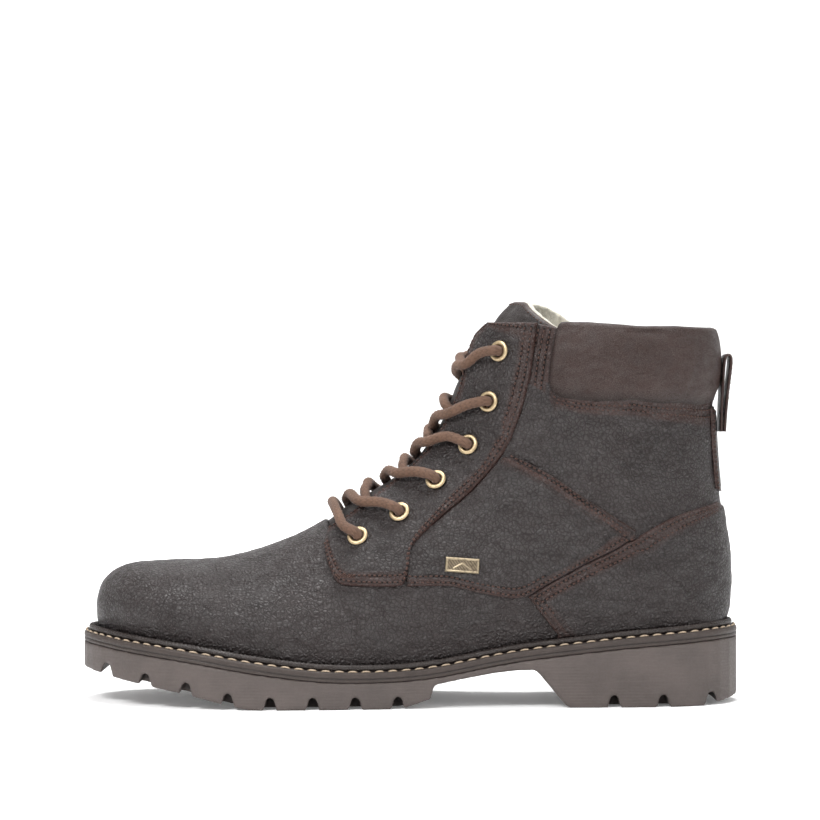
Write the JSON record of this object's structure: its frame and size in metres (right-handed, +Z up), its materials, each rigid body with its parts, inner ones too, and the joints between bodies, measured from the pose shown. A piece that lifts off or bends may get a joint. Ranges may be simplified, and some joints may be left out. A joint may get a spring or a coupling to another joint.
{
  "type": "insulated lace-up winter boot",
  "caption": "Insulated leather lace-up ankle boot with padded collar, fleece lining, braided lace, stitched welt, lugged rubber outsole, opening tongue and lift-out footbed.",
  "frame": {"origin": "on the ground under the middle of the boot's bounding box", "axes": "+X from the toe towards the heel, +Y towards the inner (medial) side of this left boot, +Z up"},
  "size_m": [0.3035, 0.1081, 0.1844],
  "materials": {
    "outsole": "matt, slightly dusty lug rubber",
    "welt": "satin dark brown welt strip",
    "rand": "rolled bead, satin",
    "welt_thread": "waxed cream thread",
    "insole_board": "fibre board",
    "shank": "tempered steel strip",
    "filler": "cork compound filler",
    "footbed": "fleece topped footbed",
    "upper_leather": "pebble grained, oiled, satin",
    "overlay_leather": "pebble grained, oiled, satin",
    "collar_leather": "smooth soft leather, satin",
    "tongue_leather": "smooth soft leather, satin",
    "stiffener": "thermoplastic stiffener sheet",
    "insulation": "thin insulation wadding",
    "fleece": "cream pile fleece",
    "foam": "soft open foam",
    "eyelet_metal": "antique brass, worn",
    "washer_metal": "antique brass",
    "lace": "braided round cord",
    "aglet": "clear coated tip",
    "badge_metal": "antique brass, brushed",
    "loop_leather": "folded leather strip"
  },
  "bodies": {
    "boot": {"outsole": "outsole", "welt": "welt", "rand": "rand", "welt_thread": "welt_thread", "insole_board": "insole_board", "shank": "shank", "bottom_filler": "filler", "vamp": "upper_leather", "quarter_lateral": "overlay_leather", "quarter_medial": "overlay_leather", "facing_lateral": "overlay_leather", "facing_medial": "overlay_leather", "shaft_panel_lateral": "upper_leather", "shaft_panel_medial": "upper_leather", "counter_patch_lateral": "overlay_leather", "counter_patch_medial": "overlay_leather", "back_stay": "overlay_leather", "toe_puff": "stiffener", "heel_counter": "stiffener", "insulation_forefoot": "insulation", "insulation_lateral": "insulation", "insulation_medial": "insulation", "lining_forefoot": "fleece", "lining_lateral": "fleece", "lining_medial": "fleece", "collar": "collar_leather", "collar_foam": "foam", "eyelets_lateral": "eyelet_metal", "eyelets_medial": "eyelet_metal", "eyelet_washers_lateral": "washer_metal", "eyelet_washers_medial": "washer_metal", "lace": "lace", "aglets": "aglet", "badge": "badge_metal"},
    "tongue": {"tongue": "tongue_leather", "tongue_foam": "foam", "tongue_lining": "fleece"},
    "pull_loop": {"pull_loop": "loop_leather"},
    "footbed": {"footbed": "footbed"}
  },
  "joints": [
    {"name": "tongue_hinge", "type": "hinge", "parent": "boot", "child": "tongue", "pos_m": [-0.04, 0, 0.08], "axis": [0, 1, 0], "range_deg": [0, 6], "stiffness_Nm_per_rad": 0.5, "springref_deg": -11.46},
    {"name": "pull_loop_hinge", "type": "hinge", "parent": "boot", "child": "pull_loop", "pos_m": [0.1432, 0, 0.124], "axis": [0, 1, 0], "range_deg": [0, 45], "stiffness_Nm_per_rad": 0.01, "springref_deg": -17.19},
    {"name": "footbed_lift", "type": "hinge", "parent": "boot", "child": "footbed", "pos_m": [-0.1325, 0, 0.033], "axis": [0, -1, 0], "range_deg": [0, 5]}
  ]
}
